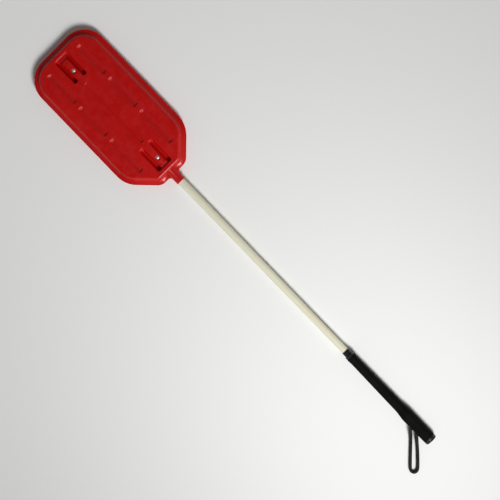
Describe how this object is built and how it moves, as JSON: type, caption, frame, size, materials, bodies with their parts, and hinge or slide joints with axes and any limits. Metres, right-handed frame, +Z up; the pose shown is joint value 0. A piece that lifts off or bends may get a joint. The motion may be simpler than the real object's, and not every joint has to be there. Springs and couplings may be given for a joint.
{
  "type": "livestock sorting paddle",
  "caption": "Hollow red plastic blade with raised ribbed faces and rattle balls on a tapered fibreglass shaft, with a black rubber grip and a hanging loop.",
  "frame": {"origin": "on the ground, below the middle of the overall length, with the paddle lying on the back of its blade and on its grip's knob", "axes": "+X along the shaft from the blade towards the grip; +Y across the blade, away from the hanging loop's side; +Z up, out of the blade's front face"},
  "size_m": [1.0962, 0.171, 0.026],
  "materials": {
    "blade_plastic": "moulded polyethylene, low sheen",
    "shaft_fibreglass": "semi-gloss pultruded glass fibre in clear resin",
    "grip_rubber": "satin, finely grained",
    "cap_plastic": "satin",
    "band_plastic": "semi-gloss shrink band",
    "tape": "woven adhesive tape",
    "cord": "braided synthetic cord",
    "rivet_metal": "bright, lightly brushed",
    "ball_plastic": "smooth",
    "plug_wood": "plain dowel"
  },
  "bodies": {
    "paddle": {"blade_front_shell": "blade_plastic", "blade_back_shell": "blade_plastic", "tip_rivet": "rivet_metal", "tip_rivet_washer": "rivet_metal", "neck_rivet": "rivet_metal", "neck_rivet_washer": "rivet_metal", "shaft": "shaft_fibreglass", "shaft_tip_plug": "plug_wood", "shaft_butt_plug": "plug_wood", "grip_band": "band_plastic", "grip_tape": "tape", "grip_sleeve": "grip_rubber", "grip_butt_cap": "cap_plastic", "loop_stopper_knot": "cord", "hanging_loop": "cord"},
    "inner_left_rattle_ball": {"inner_left_rattle_ball": "ball_plastic"},
    "inner_right_rattle_ball": {"inner_right_rattle_ball": "ball_plastic"},
    "outer_left_rattle_ball": {"outer_left_rattle_ball": "ball_plastic"},
    "outer_right_rattle_ball": {"outer_right_rattle_ball": "ball_plastic"}
  },
  "joints": [
    {"name": "inner_left_ball_lane", "type": "slide", "parent": "paddle", "child": "inner_left_rattle_ball", "axis": [1, 0, 0], "range_m": [-0.129, 0.167]},
    {"name": "inner_right_ball_lane", "type": "slide", "parent": "paddle", "child": "inner_right_rattle_ball", "axis": [1, 0, 0], "range_m": [-0.129, 0.167]},
    {"name": "outer_left_ball_lane", "type": "slide", "parent": "paddle", "child": "outer_left_rattle_ball", "axis": [1, 0, 0], "range_m": [-0.115, 0.131]},
    {"name": "outer_right_ball_lane", "type": "slide", "parent": "paddle", "child": "outer_right_rattle_ball", "axis": [1, 0, 0], "range_m": [-0.115, 0.131]}
  ]
}
